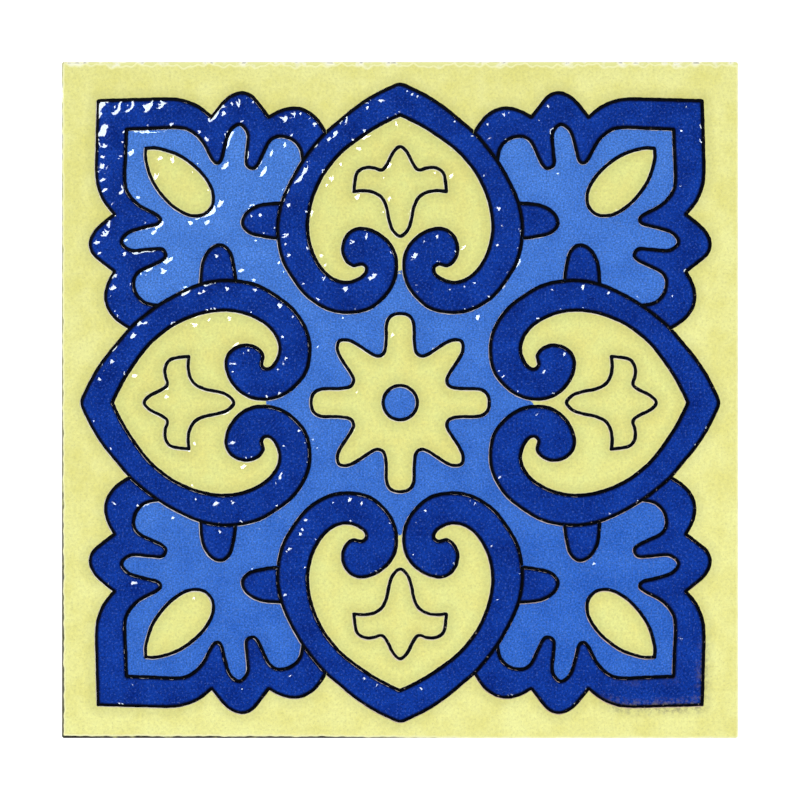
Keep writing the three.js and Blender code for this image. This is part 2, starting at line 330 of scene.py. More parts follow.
def line_material():
    """Fired manganese line: matt black with a trace of blue, and a dry, slightly grainy skin."""
    material, tree = new_material("fired_manganese_line")
    shader = tree.nodes["Principled BSDF"]
    place = add(tree, "TexCoord"), "Object"
    grain = add(tree, "TexNoise", Vector=place, Scale=1000 / LINE_GRAIN_MM, Detail=2.0), "Fac"
    tone = mix(tree, ramp(tree, grain, 0.5, 0.75), linear(LINE_BLACK), linear(LINE_WORN))
    axes = add(tree, "SeparateXYZ", Vector=place)
    slant = maths(tree, "SUBTRACT", (axes, "X"), (axes, "Y"))
    chips = add(tree, "TexNoise", Vector=place, Scale=1000 / CHIP_MM, Detail=1.0), "Fac"
    bare = maths(tree, "MULTIPLY", ramp(tree, chips, 0.69, 0.76), ramp(tree, slant, -0.02, 0.09))
    tone = mix(tree, bare, tone, linear(LINE_CHIP))
    bump = add(tree, "Bump", Strength=0.4, Distance=LINE_GRAIN_DEPTH_MM / 1000, Height=grain)
    tree.links.new(tone[0].outputs["Color"], shader.inputs["Base Color"])
    tree.links.new(bump.outputs["Normal"], shader.inputs["Normal"])
    shader.inputs["Roughness"].default_value = 0.8
    shader.inputs["IOR"].default_value = 1.15
    return material


def unit(vectors):
    return vectors / np.maximum(np.hypot(*vectors.T), 1e-9)[:, None]


def ribbon(path, closed):
    """Vertices and faces of one ridge along a path: a low bead with mitred corners and a wavering width."""
    path = path[np.append(True, np.hypot(*np.diff(path, axis=0).T) > SAME_POINT_MM)]
    if closed and np.hypot(*(path[0] - path[-1])) < SAME_POINT_MM:
        path = path[:-1]
    ahead = unit(np.roll(path, -1, 0) - path)
    behind = np.roll(ahead, 1, 0)
    if not closed:
        ahead[-1], behind[0] = behind[-1], ahead[0]
    along = unit(ahead + behind)
    side = np.column_stack((-along[:, 1], along[:, 0]))
    mitre = 1 / np.clip(np.sum(along * ahead, 1), MITRE_LIMIT, 1)
    n = len(path)
    run = np.cumsum(np.hypot(*np.diff(path, axis=0, prepend=path[:1]).T))
    phase = rng.uniform(0, 6.3, 3)
    waver = sum(np.sin(run * 2 * math.pi / size + p) for size, p in zip(LINE_WAVES_MM, phase)) / 3
    reach = LINE_WIDTH_MM / 2 * mitre * (1 + WAVER * waver)
    rows = []
    for across, rise in LINE_SECTION:
        xy = path + side * (reach * across)[:, None]
        rows.append(np.column_stack((xy, np.full(n, BODY_TOP_MM + rise * LINE_RISE_MM))))
    verts = np.stack(rows, 1).reshape(-1, 3)
    count = len(LINE_SECTION)
    faces = []
    for i in range(n if closed else n - 1):
        j = (i + 1) % n
        for k in range(count):
            m = (k + 1) % count
            faces.append((i * count + k, j * count + k, j * count + m, i * count + m))
    if not closed:
        faces += [tuple(range(count)), tuple(range((n - 1) * count, n * count))[::-1]]
    return verts, faces


paths = [(flower_loop, True), (dot_loop, True)]
for k in range(4):
    for path, closed in (
        (border_corner, False), (ground_corner, False), (band_loop, True), (leaf_loop, True),
        (lily_loop, True), (tongue, False), (left_right(tongue), False),
    ):
        paths.append((turned(path, k), closed))
all_verts, all_faces, first = [], [], 0
for path, closed in paths:
    verts, faces = ribbon(path, closed)
    all_verts.append(verts)
    all_faces += [tuple(i + first for i in face) for face in faces]
    first += len(verts)
all_verts = np.vstack(all_verts) + (LINE_SHIFT_MM[0], LINE_SHIFT_MM[1] - PATTERN_DROP_MM, 0)
mesh = bpy.data.meshes.new("dry_lines")
mesh.from_pydata((all_verts / 1000).tolist(), [], all_faces)
lines = bpy.data.objects.new("dry_lines", mesh)
bpy.context.collection.objects.link(lines)
bpy.ops.object.select_all(action="DESELECT")
bpy.context.view_layer.objects.active = lines
lines.select_set(True)
bpy.ops.object.mode_set(mode="EDIT")
bpy.ops.mesh.select_all(action="SELECT")
bpy.ops.mesh.normals_make_consistent(inside=False)
bpy.ops.object.mode_set(mode="OBJECT")
bpy.ops.object.shade_smooth()
finish_piece(lines, line_material())

# Cobalt pools: the four corners, the tongues and the heart bands. Wet glaze filled each field and melted into
# a raised pool, held back by the dry lines. Its skin is glassy: steep at the line, round over the band,
# dimpled and a little lumpy near its edge, over a deep blue with fine paler flecks.
TIP, BORDER_END, GROUND_END = (0, 71.5), (-16.7, 60.6), (-21.8, 54.2)
TONGUE_TOP, TONGUE_FOOT = (-26.6, 44.8), (-27.3, 36.9)
POOL_WALL_MM = 0.47
POOL_DOME_MM = 0.34
POOL_REACH_MM = 1.9
POOL_FOOT_MM = 0.15
FACE_LIMIT_MM = 8.89
LINE_HALF_MM = 0.44
COBALT_HALF_MM = 0.32
SHORE_WAVES_MM = (1.3, 2.3, 4.9)
TRACE_STEP_MM = 0.1
EDGE_STEP_MM = 0.3
# A point moved in from the shore is kept where it is this share of its move away from every other stretch.
SHORE_CLEAR = 0.95
RING_CLEAR = 0.93
RINGS_MM = (0.08, 0.2, 0.38, 0.62)
RING_GAP_MM = 0.2
ROW_SHARE = 0.866
FINE_STEP_MM = 0.4
FINE_DEPTH_MM = 2.3
CROWD_MM = 0.16
CELL_SHIFT = 5000
MERGE_MM = 1e-6
SOLVER_STEPS = 400
SOLVED = 1e-10
ON_LINE_MM = 1e-4
WAVE_COUNT = 60
WAVES_MM = (1.3, 6.0)
RIPPLE_SHARE = 0.02
RIPPLE_FADE_MM = 1.5
CALM_RIM_MM = 0.5
LUMP_STEP_MM = 2.6
LUMP_JITTER_MM = 0.9
LUMP_SIZES_MM = (0.7, 1.2)
LUMP_RISES_MM = (0.03, 0.09)
LUMP_BELT_MM = (1.1, 0.9)
# Enough places for a chain of dimples around the longest line.
DIMPLE_PLACES = 4000
DIMPLE_SIZES = (0.6, 1.2)
DIMPLE_LEANS = (-0.5, 0.5)
DIMPLE_LENGTHS = (0.9, 1.7)
DIMPLE_RIM_MM = 0.3
DIMPLE_ROOM_MM = 0.8
ROOM_STEPS = 6
COBALT_DIMPLES = (
    dict(spacing=4.4, nearest_mm=0.75, spread=0.4, radius=1.4, depth=0.42, share=0.8),
    dict(spacing=2.9, nearest_mm=0.6, spread=0.3, radius=0.8, depth=0.2, share=0.4),
)
# How far a turned or mirrored copy moves along its chain of dimples, so that no two copies match.
TURN_SHIFT_MM = 611.0
MIRROR_SHIFT_MM = 307.0
GLAZE_CLOUD_MM = 7.69
FLECK_MM = 0.4762
PEEL_MM = 0.7692
PEEL_DEPTH_MM = 0.006
GRIME_MM = 1.538
SMUDGE = "#7C746A"
SMUDGE_Z_MM = 8.5
# Each smudge has its middle, its reach and its strength.
SMUDGES_MM = ((52.0, -70.0, 9.0, 0.5), (63.0, -70.0, 9.0, 0.6), (71.0, -60.0, 9.0, 0.4))
# Noise that is the same at every height.
FLAT = {"noise_dimensions": "2D"}


def area(loop):
    x, y = loop.T
    return 0.5 * np.sum(x * np.roll(y, -1) - np.roll(x, -1) * y)


def even(loop, step):
    """The closed path with its points a step apart."""
    closed = np.vstack((loop, loop[:1]))
    closed = closed[np.append(np.hypot(*np.diff(closed, axis=0).T) > 1e-5, True)]
    run = np.append(0, np.cumsum(np.hypot(*np.diff(closed, axis=0).T)))
    at = np.linspace(0, run[-1], max(12, round(run[-1] / step)), endpoint=False)
    return np.column_stack((np.interp(at, run, closed[:, 0]), np.interp(at, run, closed[:, 1])))


def inward(loop):
    """Unit normals to the left of the path."""
    along = unit(np.roll(loop, -1, 0) - np.roll(loop, 1, 0))
    return np.column_stack((-along[:, 1], along[:, 0]))


def tree_of(points):
    tree = KDTree(len(points))
    for i, (x, y) in enumerate(points):
        tree.insert((x, y, 0), i)
    tree.balance()
    return tree


def nearest(tree, points):
    """Which of the tree's points is nearest to each point, and how far it is."""
    found = [tree.find((x, y, 0)) for x, y in points]
    return np.array([hit[1] for hit in found]), np.array([hit[2] for hit in found])


def away(tree, points):
    return nearest(tree, points)[1]


def within(points, loops):
    """Which points lie inside the loops, with a loop inside another one as a hole."""
    odd = np.zeros(len(points), bool)
    order = np.argsort(points[:, 1])
    ys = points[order, 1]
    for loop in loops:
        for (x1, y1), (x2, y2) in zip(loop, np.roll(loop, -1, 0)):
            if y1 != y2:
                low, high = np.searchsorted(ys, sorted((y1, y2)))
                band = order[low:high]
                x = x1 + (points[band, 1] - y1) * (x2 - x1) / (y2 - y1)
                odd[band] ^= points[band, 0] < x
    return odd


def waves(path, sizes, seed):
    """Slow waves along a path, between -1 and 1."""
    run = np.append(0, np.cumsum(np.hypot(*np.diff(path, axis=0).T)))
    phases = np.random.default_rng(seed).uniform(0, 6.3, len(sizes))
    return sum(np.sin(run * 2 * math.pi / size + p) for size, p in zip(sizes, phases)) / len(sizes)


def shore(loop, hole, gap=LINE_HALF_MM):
    """Where a pool ends: the line's middle moved in by the gap, with its tight corners cut."""
    path = even(loop, TRACE_STEP_MM)
    if (area(path) > 0) == hole:
        path = path[::-1]
    if callable(gap):
        gap = gap(path)
    else:
        gap = gap * (1 + WAVER * waves(path, SHORE_WAVES_MM, len(path)))
    moved = path + inward(path) * gap[:, None]
    return even(moved[away(tree_of(path), moved) > gap * SHORE_CLEAR], EDGE_STEP_MM)


def hexagons(low, high, step):
    """Points a step apart in rows that are staggered, between two corners."""
    rows = []
    for k, y in enumerate(np.arange(low[1], high[1], step * ROW_SHARE)):
        x = np.arange(low[0] + (k % 2) * step / 2, high[0], step)
        rows.append(np.column_stack((x, np.full(len(x), y))))
    return np.vstack(rows)


def main_net(triangles):
    """Leaves out crumbs that hang on the net by one corner, where two shores cross at a sharp tip."""
    owner, group = {}, list(range(len(triangles)))

    def root(t):
        while group[t] != t:
            group[t] = group[group[t]]
            t = group[t]
        return t

    for t, corners in enumerate(triangles.tolist()):
        for side in zip(corners, corners[1:] + corners[:1]):
            side = tuple(sorted(side))
            if side in owner:
                group[root(t)] = root(owner[side])
            owner[side] = t
    roots = np.array([root(t) for t in range(len(triangles))])
    return triangles[roots == np.bincount(roots).argmax()]


def open_sides(triangles):
    """The sides that one triangle alone has, in its direction."""
    sides = np.vstack((triangles[:, (0, 1)], triangles[:, (1, 2)], triangles[:, (2, 0)]))
    n = triangles.max() + 1
    return sides[~np.isin(sides[:, 0] * n + sides[:, 1], sides[:, 1] * n + sides[:, 0])]


def underside(xy, triangles, shores):
    """Triangles between the rim points alone, which close the pool underneath."""
    sides = open_sides(triangles)
    rim, ends = np.unique(sides, return_inverse=True)
    points = [Vector(p) for p in xy[rim].tolist()]
    found = delaunay_2d_cdt(points, ends.reshape(-1, 2).tolist(), [], 0, MERGE_MM, True)
    origins = np.array([given[0] for given in found[3]])
    flat = rim[origins[np.array(found[2])]]
    return main_net(flat[within(xy[flat].mean(1), shores)])


def thin(points):
    """Drops points that crowd an earlier one."""
    cells, kept = set(), []
    for x, y in points:
        cell = (int(x / CROWD_MM + CELL_SHIFT), int(y / CROWD_MM + CELL_SHIFT))
        if cell not in cells:
            cells.add(cell)
            kept.append((x, y))
    return np.array(kept)


def pool_net(shores):
    """Points and triangles over a pool, close together along its shore and wider in its middle."""
    rim = np.vstack(shores)
    tree = tree_of(rim)
    inner = []
    for level, ring in enumerate(RINGS_MM):
        for line in shores:
            moved = line + inward(line) * ring
            moved = (moved + np.roll(moved, -1, 0)) / 2 if level % 2 == 0 else moved
            inner.append(moved[away(tree, moved) > ring * RING_CLEAR])
    low, high = rim.min(0), rim.max(0)
    fine = (FINE_STEP_MM, RINGS_MM[-1] + RING_GAP_MM, FINE_DEPTH_MM)
    coarse = (2 * FINE_STEP_MM, FINE_DEPTH_MM, math.inf)
    for step, near, far in (fine, coarse):
        grid = hexagons(low, high, step)
        grid = grid[within(grid, shores)]
        gone = away(tree, grid)
        inner.append(grid[(gone > near) & (gone <= far)])
    inner = thin(np.vstack(inner))
    points = np.vstack((rim, inner))
    edges, first = [], 0
    for line in shores:
        n = len(line)
        edges += [(first + i, first + (i + 1) % n) for i in range(n)]
        first += n
    found = delaunay_2d_cdt([Vector(p) for p in points.tolist()], edges, [], 0, MERGE_MM, False)
    xy = np.array([tuple(v) for v in found[0]])
    triangles = np.array(found[2])
    triangles = main_net(triangles[within(xy[triangles].mean(1), shores)])
    used, triangles = np.unique(triangles, return_inverse=True)
    return xy[used], triangles.reshape(-1, 3)


def swell(xy, triangles, fixed, height):
    """Heights of a pool's skin: a stretched film that is held down at the shore and pushed up from below."""
    reach = POOL_REACH_MM
    a, b, c = (xy[triangles[:, k]] for k in range(3))
    double = (b[:, 0] - a[:, 0]) * (c[:, 1] - a[:, 1]) - (b[:, 1] - a[:, 1]) * (c[:, 0] - a[:, 0])
    double = np.maximum(np.abs(double), 1e-5)
    n = len(xy)
    mass = sum(np.bincount(triangles[:, k], double / 6, n) for k in range(3))
    ends, weights = [], []
    for i, j, k in ((0, 1, 2), (1, 2, 0), (2, 0, 1)):
        p, q, r = xy[triangles[:, i]], xy[triangles[:, j]], xy[triangles[:, k]]
        weights.append(np.sum((p - r) * (q - r), 1) / double / 2)
        ends.append(triangles[:, (i, j)])
    ends, weights = np.vstack(ends), np.maximum(np.concatenate(weights), 1e-3)
    i, j = ends.T
    own = np.bincount(i, weights, n) + np.bincount(j, weights, n) + mass / reach**2
    free = ~fixed

    def pull(h):
        flow = weights * (h[i] - h[j])
        return (np.bincount(i, flow, n) - np.bincount(j, flow, n) + mass * h / reach**2) * free

    h = np.zeros(n)
    left = mass * height / reach**2 * free
    ready = left / own
    way = ready.copy()
    score = left @ ready
    for _ in range(SOLVER_STEPS):
        pulled = pull(way)
        share = score / (way @ pulled)
        h += share * way
        left -= share * pulled
        ready = left / own
        new = left @ ready
        if new < SOLVED:
            break
        way = ready + new / score * way
        score = new
    return h


wave_sizes = np.exp(rng.uniform(*np.log(WAVES_MM), WAVE_COUNT))
wave_ways = rng.uniform(0, math.pi, WAVE_COUNT)
wave_starts = rng.uniform(0, 2 * math.pi, WAVE_COUNT)


def ripple(xy):
    """Slow waves in the skin, as the melt leaves them."""
    total = np.zeros(len(xy))
    for size, way, start in zip(wave_sizes, wave_ways, wave_starts):
        total += size * np.cos(2 * math.pi / size * (xy @ (math.cos(way), math.sin(way))) + start)
    return total / WAVE_COUNT


half = SIDE_MM / 2
lumps = hexagons((-half, -half), (half, half), LUMP_STEP_MM)
lumps = lumps + rng.uniform(-LUMP_JITTER_MM, LUMP_JITTER_MM, lumps.shape)
lump_sizes = rng.uniform(*LUMP_SIZES_MM, len(lumps))
lump_rises = rng.uniform(*LUMP_RISES_MM, len(lumps)) * rng.choice((-1.0, 1.0), len(lumps))


def lumpy(xy, edge):
    """Lumps and hollows in the skin, mostly one or two millimetres in from the line."""
    tree = tree_of(xy)
    low, high = xy.min(0), xy.max(0)
    belt, width = LUMP_BELT_MM
    rise = np.zeros(len(xy))
    for (x, y), size, height in zip(lumps, lump_sizes, lump_rises):
        if low[0] < x < high[0] and low[1] < y < high[1]:
            near = tree.find_range((x, y, 0), 2.4 * size)
            if near:
                ids = np.array([index for _, index, _ in near])
                gone = np.array([distance for _, _, distance in near])
                share = math.exp(-(((edge[ids[gone.argmin()]] - belt) / width) ** 2)) + 0.1
                rise[ids] += height * share * np.exp(-((gone / size) ** 2) / 2)
    return rise


def base_height(xy):
    """Top of the clay under the glaze, which rounds off at the arris."""
    depth = half - np.abs(xy).max(1)
    drop = np.clip(ARRIS_MM - depth, 0, ARRIS_MM)
    return BODY_TOP_MM - ARRIS_MM + np.sqrt(ARRIS_MM**2 - drop**2)


def pool_shape(shores, wall=POOL_WALL_MM, dome=POOL_DOME_MM, free_outside=False):
    """A pool's net and underside, and then, for each point of the net, six measures in mm.

    They are the distance to the rim and to the nearest dry line, the way along that line, the room on this
    side of it, the distance to the rim that takes the rim tone (on the border its outer rim, where the glaze
    runs thin), and the height over the clay.
    """
    xy, triangles = pool_net(shores)
    lines = shores[1:] if free_outside else shores
    starts, ways = np.vstack(lines), np.vstack([inward(loop)[:, ::-1] * (1, -1) for loop in lines])
    at, line = nearest(tree_of(starts), xy)
    along = at * EDGE_STEP_MM + np.sum((xy - starts[at]) * ways[at], 1)
    room = np.zeros(len(starts))
    np.maximum.at(room, at, line)
    room = np.maximum(room, np.maximum(np.roll(room, 1), np.roll(room, -1)))
    for _ in range(ROOM_STEPS):
        room = np.minimum(room, np.minimum(np.roll(room, 1), np.roll(room, -1)) + EDGE_STEP_MM)
    toned_edge = away(tree_of(shores[0]), xy) if free_outside else line
    edge = np.minimum(line, toned_edge)
    height = wall + swell(xy, triangles, line < ON_LINE_MM, dome)
    return xy, triangles, underside(xy, triangles, shores), edge, line, along, room[at], toned_edge, height


def dimples(along, line, room, seed, spacing, nearest_mm, spread, radius, depth, share):
    """Depth of round dimples in a chain beside a dry line, where there is room for them. All in mm."""
    chance = np.random.default_rng(seed)
    count = DIMPLE_PLACES
    places = (np.arange(count) + chance.uniform(0.05, 0.75, count)) * spacing
    off = chance.uniform(nearest_mm, nearest_mm + spread, count)
    size = chance.uniform(*DIMPLE_SIZES, count)
    sunk = depth * size * (chance.random(count) < share)
    lean = chance.uniform(*DIMPLE_LEANS, count)
    long = chance.uniform(*DIMPLE_LENGTHS, count)
    total = np.zeros(len(line))
    cell = np.floor(along / spacing).astype(int)
    for step in (-1, 0, 1):
        k = (cell + step) % count
        lengthwise = along - (cell + step - k) * spacing - places[k]
        crosswise = line - off[k] - lean[k] * lengthwise
        gone = np.hypot(lengthwise / long[k], crosswise) / (radius * size[k])
        gone = np.clip(gone, 0, 1)
        total += sunk[k] * (1 - gone * gone * (3 - 2 * gone))
    reach = nearest_mm + spread + DIMPLE_SIZES[1] * radius
    return total * np.clip((room - reach) / DIMPLE_ROOM_MM + 1, 0, 1)


def lay_pool(name, shape, material, quarters=0, mirror=False, lively=1.0, pits=()):
    """Makes a pool from its shape, turned to its place, with its own ripple and lumps."""
    xy, triangles, under, edge, line, along, room, toned_edge, height = shape
    along = along + TURN_SHIFT_MM * quarters + MIRROR_SHIFT_MM * mirror
    if mirror:
        xy, triangles, under = xy * (-1, 1), triangles[:, ::-1], under[:, ::-1]
    xy = turned(xy, quarters) - (0, PATTERN_DROP_MM)
    unrest = ripple(xy) * RIPPLE_SHARE * (1 + 1.5 * np.exp(-edge / RIPPLE_FADE_MM)) + lumpy(xy, edge)
    z = base_height(xy) + height + lively * unrest * np.clip(edge / CALM_RIM_MM, 0, 1)
    for number, sizes in enumerate(pits):
        z -= dimples(along, line, room, SEED + number, **sizes) * np.clip(edge / DIMPLE_RIM_MM, 0, 1)
    z = np.minimum(z, FACE_LIMIT_MM)
    n = len(xy)
    lone = open_sides(triangles)
    rim = np.unique(lone)
    foot = base_height(xy[rim]) - POOL_FOOT_MM
    below = np.full(n, -1)
    below[rim] = n + np.arange(len(rim))
    verts = np.vstack((np.column_stack((xy, z)), np.column_stack((xy[rim], foot))))
    walls = [(b, a, below[a], below[b]) for a, b in lone]
    faces = triangles.tolist() + walls + below[under[:, ::-1]].tolist()
    mesh = bpy.data.meshes.new(name)
    mesh.from_pydata((verts / 1000).tolist(), [], faces)
    mesh.update()
    mesh.shade_smooth()
    ends = np.zeros(2 * len(mesh.edges), int)
    mesh.edges.foreach_get("vertices", ends)
    ends = ends.reshape(-1, 2)
    crease = mesh.attributes.new("sharp_edge", "BOOLEAN", "EDGE")
    crease.data.foreach_set("value", np.isin(ends, rim).all(1) | (ends >= n).all(1))
    for label, values in (("line_mm", line), ("rim_mm", toned_edge)):
        distance = mesh.attributes.new(label, "FLOAT", "POINT")
        distance.data.foreach_set("value", np.concatenate((values, values[rim])).astype(np.float32))
    piece = bpy.data.objects.new(name, mesh)
    bpy.context.collection.objects.link(piece)
    finish_piece(piece, material)


def glaze_material(
    name, tones, far_tones, grain, grain_mm, fleck, fleck_share, rim_tone, rim_tone_mm, shade
):
    """Lead gloss glaze: a smooth glassy skin over colour that clouds, grains and flecks with its oxides.

    Tones are the two colours of its clouds at the upper left, and far tones those at the lower right. The
    rim tone shows within its width in mm of the rim: paler thin glaze on the pale yellow, painted shade along
    the steep edge on the cobalt and the light blue, and on the border paler thin glaze with a painted
    highlight along the crest of its wavy rim. Shade is the level of the painted shade beside a dry line.
    """
    material, tree = new_material(name)
    shader = tree.nodes["Principled BSDF"]
    place = add(tree, "TexCoord"), "Object"
    clouds = add(
        tree, "TexNoise", FLAT, Vector=place, Scale=1000 / GLAZE_CLOUD_MM, Detail=5.0, Roughness=0.65
    ), "Fac"
    fine = add(
        tree, "TexNoise", FLAT, Vector=place, Scale=1000 / grain_mm, Detail=3.0, Roughness=0.7
    ), "Fac"
    dots = add(tree, "TexNoise", FLAT, Vector=place, Scale=1000 / FLECK_MM, Detail=1.0), "Fac"
    axes = add(tree, "SeparateXYZ", Vector=place)
    slant = maths(tree, "SUBTRACT", maths(tree, "MULTIPLY", (axes, "X"), 0.4), (axes, "Y"))
    far = ramp(tree, slant, -0.06, 0.06)
    deep = mix(tree, far, linear(tones[0]), linear(far_tones[0]))
    pale = mix(tree, far, linear(tones[1]), linear(far_tones[1]))
    body = mix(tree, ramp(tree, clouds, 0.3, 0.7), deep, pale)
    line_mm = add(tree, "Attribute", {"attribute_name": "line_mm"}), "Fac"
    rim_mm = add(tree, "Attribute", {"attribute_name": "rim_mm"}), "Fac"
    level = ramp(tree, fine, 0.25, 0.75, 1.0 - grain, 1.0 + grain)
    # Darker beside a dry line: painted shade.
    level = maths(tree, "MULTIPLY", level, ramp(tree, line_mm, 0.5, 2.6, shade, 1.0))
    grainy = add(tree, "VectorMath", {"operation": "SCALE"}, Vector=body, Scale=level), "Vector"
    flecked = mix(tree, ramp(tree, dots, 0.62, 0.74, 0.0, fleck_share), grainy, linear(fleck))
    # The rim tone: painted shade along the steep edge of the blues, paler thin glaze on the yellow, and a
    # painted highlight along the border's crest.
    colour = mix(tree, soft_ramp(tree, rim_mm, 0.0, rim_tone_mm, 0.95, 0.0), flecked, linear(rim_tone))
    grime = add(
        tree, "TexNoise", FLAT, Vector=place, Scale=1000 / GRIME_MM, Detail=5.0, Roughness=0.75
    ), "Fac"
    grime = maths(tree, "MULTIPLY", ramp(tree, grime, 0.46, 0.62), ramp(tree, line_mm, 0.3, 1.9, 1.0, 0.0))
    for x, y, reach, strength in SMUDGES_MM:
        middle = (x / 1000, y / 1000, SMUDGE_Z_MM / 1000)
        gone = add(tree, "VectorMath", {"operation": "DISTANCE"}, i0=place, i1=middle), "Value"
        share = soft_ramp(tree, gone, reach / 1000, reach / 3000, 0.0, strength)
        colour = mix(tree, maths(tree, "MULTIPLY", share, grime), colour, linear(SMUDGE))
    peel = add(tree, "TexNoise", FLAT, Vector=place, Scale=1000 / PEEL_MM, Detail=0.0), "Fac"
    skin = maths(tree, "MULTIPLY", peel, PEEL_DEPTH_MM)
    bump = add(tree, "Bump", Strength=1.0, Distance=0.001, Height=skin)
    tree.links.new(colour[0].outputs["Color"], shader.inputs["Base Color"])
    tree.links.new(bump.outputs["Normal"], shader.inputs["Normal"])
    shader.inputs["Roughness"].default_value = 0.04
    shader.inputs["IOR"].default_value = 1.52
    return material


# The cobalt's near-black rim tone is painted shade along its steep edge at the dry line.
cobalt = glaze_material(
    "cobalt_blue_glaze", tones=("#05277E", "#103B9F"), far_tones=("#052984", "#103DA3"),
    grain=0.5, grain_mm=0.5, fleck="#4A6EC8", fleck_share=0.4,
    rim_tone="#03071E", rim_tone_mm=0.5, shade=1.0,
)
over_tip = stretch(heart_side, BORDER_END, TIP)
beside_border = stretch(heart_side, BORDER_END, GROUND_END)
beside_tongue = stretch(heart_side, TONGUE_FOOT, TONGUE_TOP)
corner_loop = np.vstack((border_corner, beside_border, ground_corner[::-1], diagonal(beside_border)))
tongue_loop = np.vstack((tongue, beside_tongue))
corner_shape = pool_shape([shore(corner_loop, False, COBALT_HALF_MM)])
tongue_shape = pool_shape([shore(tongue_loop, False, COBALT_HALF_MM)])
band_shape = pool_shape([shore(band_loop, False, COBALT_HALF_MM)])
for k in range(4):
    lay_pool(f"corner_glaze_{k + 1}", corner_shape, cobalt, k, pits=COBALT_DIMPLES)
    lay_pool(f"heart_band_glaze_{k + 1}", band_shape, cobalt, k, pits=COBALT_DIMPLES)
    lay_pool(f"tongue_glaze_{2 * k + 1}", tongue_shape, cobalt, k, pits=COBALT_DIMPLES)
    lay_pool(f"tongue_glaze_{2 * k + 2}", tongue_shape, cobalt, k, True, pits=COBALT_DIMPLES)

# Light blue pools: the ground between the hearts, which is one connected field, and the dot of the flower.
# The same raised glaze, a thinner cobalt with visible mottle, paler at the upper left.
GAP_HIGH = (-1.0, 30.4)
LIGHT_DIMPLES = (
    dict(spacing=4.8, nearest_mm=0.9, spread=0.3, radius=1.3, depth=0.3, share=0.55),
    dict(spacing=3.4, nearest_mm=0.6, spread=0.3, radius=0.8, depth=0.17, share=0.35),
)
# The light blue's darker rim tone is painted shade along its steep edge, and its level beside a dry line is
# painted shade.
light_blue = glaze_material(
    "light_blue_glaze", tones=("#4479D2", "#5187E0"), far_tones=("#2A60C4", "#386FD2"),
    grain=0.5, grain_mm=0.3846, fleck="#8CAEEA", fleck_share=0.22,
    rim_tone="#2450A6", rim_tone_mm=0.25, shade=0.95,
)
above_tongue = stretch(heart_side, GROUND_END, TONGUE_TOP)
below_tongue = stretch(heart_side, TONGUE_FOOT, GAP_HIGH)
beside_heart = np.vstack((above_tongue, tongue, below_tongue))
ground_loop = np.vstack([
    turned(np.vstack((ground_corner, beside_heart, left_right(beside_heart))), k) for k in range(4)
])
ground_holes = [turned(leaf_loop, k) for k in range(4)] + [flower_loop]
ground_shores = [shore(ground_loop, False)] + [shore(hole, True) for hole in ground_holes]
lay_pool("ground_glaze", pool_shape(ground_shores), light_blue, pits=LIGHT_DIMPLES)
lay_pool("dot_glaze", pool_shape([shore(dot_loop, False)]), light_blue, pits=LIGHT_DIMPLES)

# Yellow pools: the border, which rolls over the arris, the hearts, the lilies, the leaves and the flower.
# An opaque pale yellow glaze, with a fine grain and faint greyer specks. Along the top edge it stopped about
# a millimetre short, in a wavy rim.
GAP_LOW = (-1.2, 28.6)
ROUND_MM = 0.9
BORDER_WALL_MM = 0.3
BORDER_DOME_MM = 0.15
RIM_WAVES_MM = (2.3, 4.1, 7.9, 14.0)
RIM_SEED = 5
# How far the border stops short of a side, and by how much that sways. Left and bottom: place and gap.
RIGHT_GAP_MM, RIGHT_SWAY_MM = 0.1, 0.06
TOP_GAP_MM, TOP_SWAY_MM = 0.85, 0.75
LEFT_GAPS_MM, LEFT_SWAY_MM = ((-half, 0.62), (-30, 0.5), (10, 0.34), (half, 0.3)), 0.2
BOTTOM_GAPS_MM, BOTTOM_SWAY_MM = ((-half, 0.6), (-18, 0.5), (8, 0.25), (14, 0.1)), 0.15
LEAST_GAP_MM = 0.05
YELLOW_DIMPLES = (dict(spacing=3.8, nearest_mm=0.75, spread=0.3, radius=1.1, depth=0.28, share=0.5),)
# The pale yellow is darker beside a dry line: painted shade.
yellow = glaze_material(
    "pale_yellow_glaze", tones=("#E5E188", "#E5E993"), far_tones=("#ECE88D", "#EBEE99"),
    grain=0.09, grain_mm=0.6667, fleck="#B9B67C", fleck_share=0.25,
    rim_tone="#E9E6B8", rim_tone_mm=0.22, shade=0.87,
)
# The border's pale rim tone is thin glaze with a painted highlight along the crest of its wavy rim. Its level
# beside a dry line is painted shade.
border_yellow = glaze_material(
    "border_yellow_glaze", tones=("#E5E288", "#EEEE9F"), far_tones=("#EBE88F", "#F5F6A6"),
    grain=0.08, grain_mm=0.6667, fleck="#B9B67C", fleck_share=0.25,
    rim_tone="#FBFBC8", rim_tone_mm=0.6, shade=0.87,
)
inside_heart = stretch(heart_side, GAP_LOW, (0, 64.6))
heart_loop = np.vstack((inside_heart, left_right(inside_heart)))
field_side = np.vstack((border_corner, over_tip, left_right(over_tip)))
field_loop = np.vstack([turned(field_side, k) for k in range(4)])
corner_middle = half - ROUND_MM
quarter = angles[: CIRCLE_POINTS // 4 + 1]
corner = corner_middle + ROUND_MM * np.column_stack((np.cos(quarter), np.sin(quarter)))
square = np.vstack([turned(corner, 4 - k) for k in range(4)]) + (0, PATTERN_DROP_MM)


def edge_gap(path):
    """How far the border glaze stops short of each side."""
    x, y = path.T
    y = y - PATTERN_DROP_MM
    sway = waves(path, RIM_WAVES_MM, RIM_SEED)
    left = np.interp(y, *np.transpose(LEFT_GAPS_MM)) + LEFT_SWAY_MM * sway
    bottom = np.interp(x, *np.transpose(BOTTOM_GAPS_MM)) + BOTTOM_SWAY_MM * sway
    gap = np.where(y > corner_middle, TOP_GAP_MM + TOP_SWAY_MM * sway, RIGHT_GAP_MM + RIGHT_SWAY_MM * sway)
    gap = np.where(x < -corner_middle, left, gap)
    gap = np.where(y < -corner_middle, bottom, gap)
    return np.maximum(gap, LEAST_GAP_MM)


